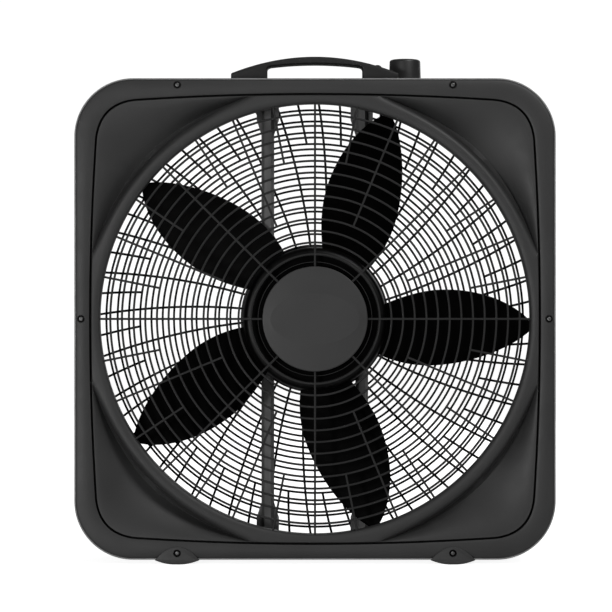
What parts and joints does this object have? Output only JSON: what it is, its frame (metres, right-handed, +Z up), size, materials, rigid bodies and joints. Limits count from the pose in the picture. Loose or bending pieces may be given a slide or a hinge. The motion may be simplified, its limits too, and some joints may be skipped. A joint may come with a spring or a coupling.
{
  "type": "box fan",
  "caption": "Square floor fan with rounded corners, a petal-bladed rotor between two round grilles, a carrying handle and a top speed knob.",
  "frame": {"origin": "on the floor, midway between the two feet and halfway through the depth", "axes": "+X to the fan's right seen from the front, +Y towards the rear grille, +Z up; the rotor turns about Y"},
  "size_m": [0.524, 0.114, 0.557],
  "materials": {
    "face_plastic": "fine satin grain, charcoal grey",
    "body_steel": "satin charcoal paint on folded sheet steel",
    "cap_plastic": "smooth satin, slightly lighter charcoal",
    "blade_plastic": "black polypropylene, soft sheen",
    "handle_plastic": "fine grain, dark charcoal",
    "knob_plastic": "satin dark charcoal",
    "bar_steel": "grey paint on pressed steel",
    "screw_steel": "zinc-plated steel",
    "cast_aluminium": "bare die-cast aluminium",
    "laminations": "stacked electrical steel",
    "copper": "enamelled copper wire",
    "bronze": "oil-filled sintered bronze",
    "switch_plastic": "black phenolic and nylon",
    "capacitor_plastic": "smooth black case",
    "rubber": "matt black"
  },
  "bodies": {
    "housing": {"body_wrap": "body_steel", "front_frame": "face_plastic", "front_grille": "face_plastic", "front_cap": "cap_plastic", "rear_grille": "face_plastic", "cord_gland": "rubber", "stator": "laminations", "front_bell": "cast_aluminium", "rear_bell": "cast_aluminium", "front_bearing": "bronze", "rear_bearing": "bronze", "left_bar": "bar_steel", "right_bar": "bar_steel", "left_foot": "handle_plastic", "right_foot": "handle_plastic", "capacitor": "capacitor_plastic", "capacitor_tie": "switch_plastic", "motor_lead": "rubber", "handle": "handle_plastic", "dial_plate": "knob_plastic", "rotary_switch": "switch_plastic", "switch_nut": "screw_steel", "front_screw_1": "screw_steel", "rear_screw_1": "screw_steel", "front_screw_2": "screw_steel", "rear_screw_2": "screw_steel", "front_screw_3": "screw_steel", "rear_screw_3": "screw_steel", "front_screw_4": "screw_steel", "rear_screw_4": "screw_steel", "front_screw_5": "screw_steel", "rear_screw_5": "screw_steel", "front_screw_6": "screw_steel", "rear_screw_6": "screw_steel", "coil_1": "copper", "tie_screw_1": "screw_steel", "motor_bolt_1": "screw_steel", "coil_2": "copper", "tie_screw_2": "screw_steel", "motor_bolt_2": "screw_steel", "coil_3": "copper", "tie_screw_3": "screw_steel", "motor_bolt_3": "screw_steel", "coil_4": "copper", "tie_screw_4": "screw_steel", "motor_bolt_4": "screw_steel", "left_bar_screw": "screw_steel", "left_handle_screw": "screw_steel", "right_bar_screw": "screw_steel", "right_handle_screw": "screw_steel"},
    "rotor": {"fan_blade": "blade_plastic", "blade_nut": "screw_steel", "motor_shaft": "screw_steel", "rotor_core": "cast_aluminium"},
    "control": {"knob": "knob_plastic", "switch_shaft": "switch_plastic"}
  },
  "joints": [
    {"name": "rotor_spin", "type": "hinge", "parent": "housing", "child": "rotor", "pos_m": [0, 0, 0.267], "axis": [0, 1, 0], "continuous": true},
    {"name": "knob_turn", "type": "hinge", "parent": "housing", "child": "control", "pos_m": [0.101, 0.022, 0.557], "axis": [0, 0, 1], "range_deg": [-180, 0]}
  ]
}
